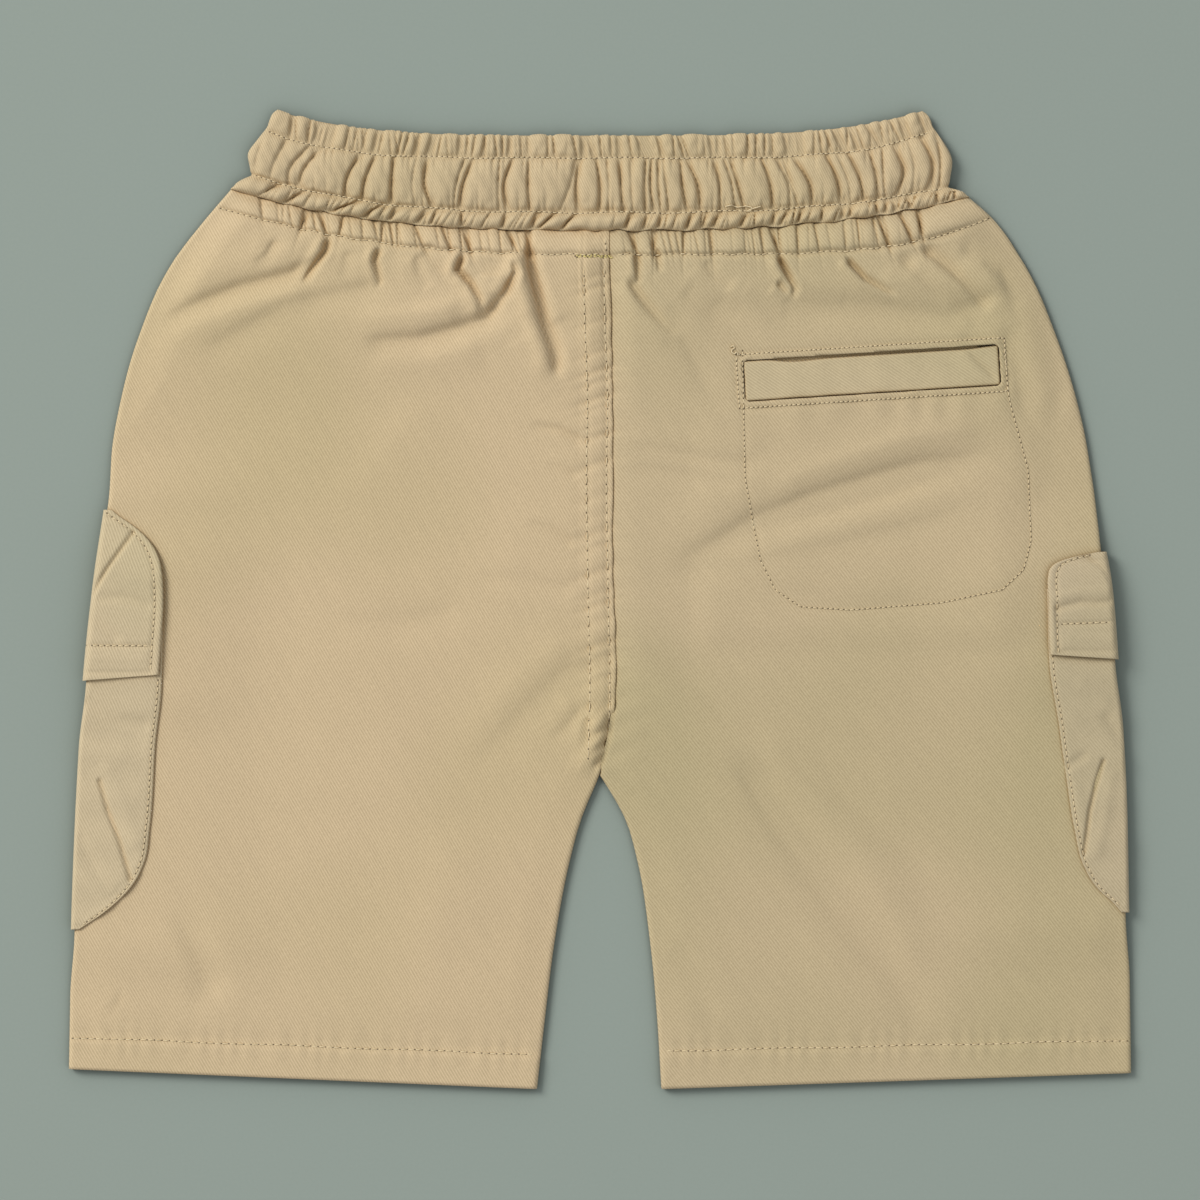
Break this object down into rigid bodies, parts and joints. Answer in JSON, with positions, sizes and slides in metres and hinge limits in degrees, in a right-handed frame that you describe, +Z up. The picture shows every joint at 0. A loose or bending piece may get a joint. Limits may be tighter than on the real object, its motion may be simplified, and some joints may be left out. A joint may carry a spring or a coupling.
{
  "type": "cargo shorts",
  "caption": "Child's pull-on cargo shorts in cotton twill, laid flat with the back side up, with a gathered elastic waist, a back welt pocket and flapped side pockets.",
  "frame": {"origin": "centre of the underside, on the surface that the shorts lie on", "axes": "+Z up from that surface, +Y from the hems to the waist, +X to the wearer's right leg, which is on the right with the back side up"},
  "size_m": [0.3714, 0.3416, 0.0075],
  "materials": {
    "twill_legs": "khaki cotton twill, matt",
    "twill_waistband": "khaki cotton twill gathered on elastic, matt",
    "twill_pockets": "khaki cotton twill, pressed flat, matt"
  },
  "bodies": {
    "root": {"front_panel_left": "twill_legs", "front_panel_right": "twill_legs", "back_panel_left": "twill_legs", "back_panel_right": "twill_legs", "waistband_front": "twill_waistband", "waistband_back": "twill_waistband", "back_pocket_bag": "twill_pockets", "back_pocket_welt": "twill_pockets", "cargo_pocket_left": "twill_pockets", "cargo_pocket_right": "twill_pockets", "cargo_flap_left": "twill_pockets", "cargo_flap_right": "twill_pockets"}
  },
  "joints": []
}
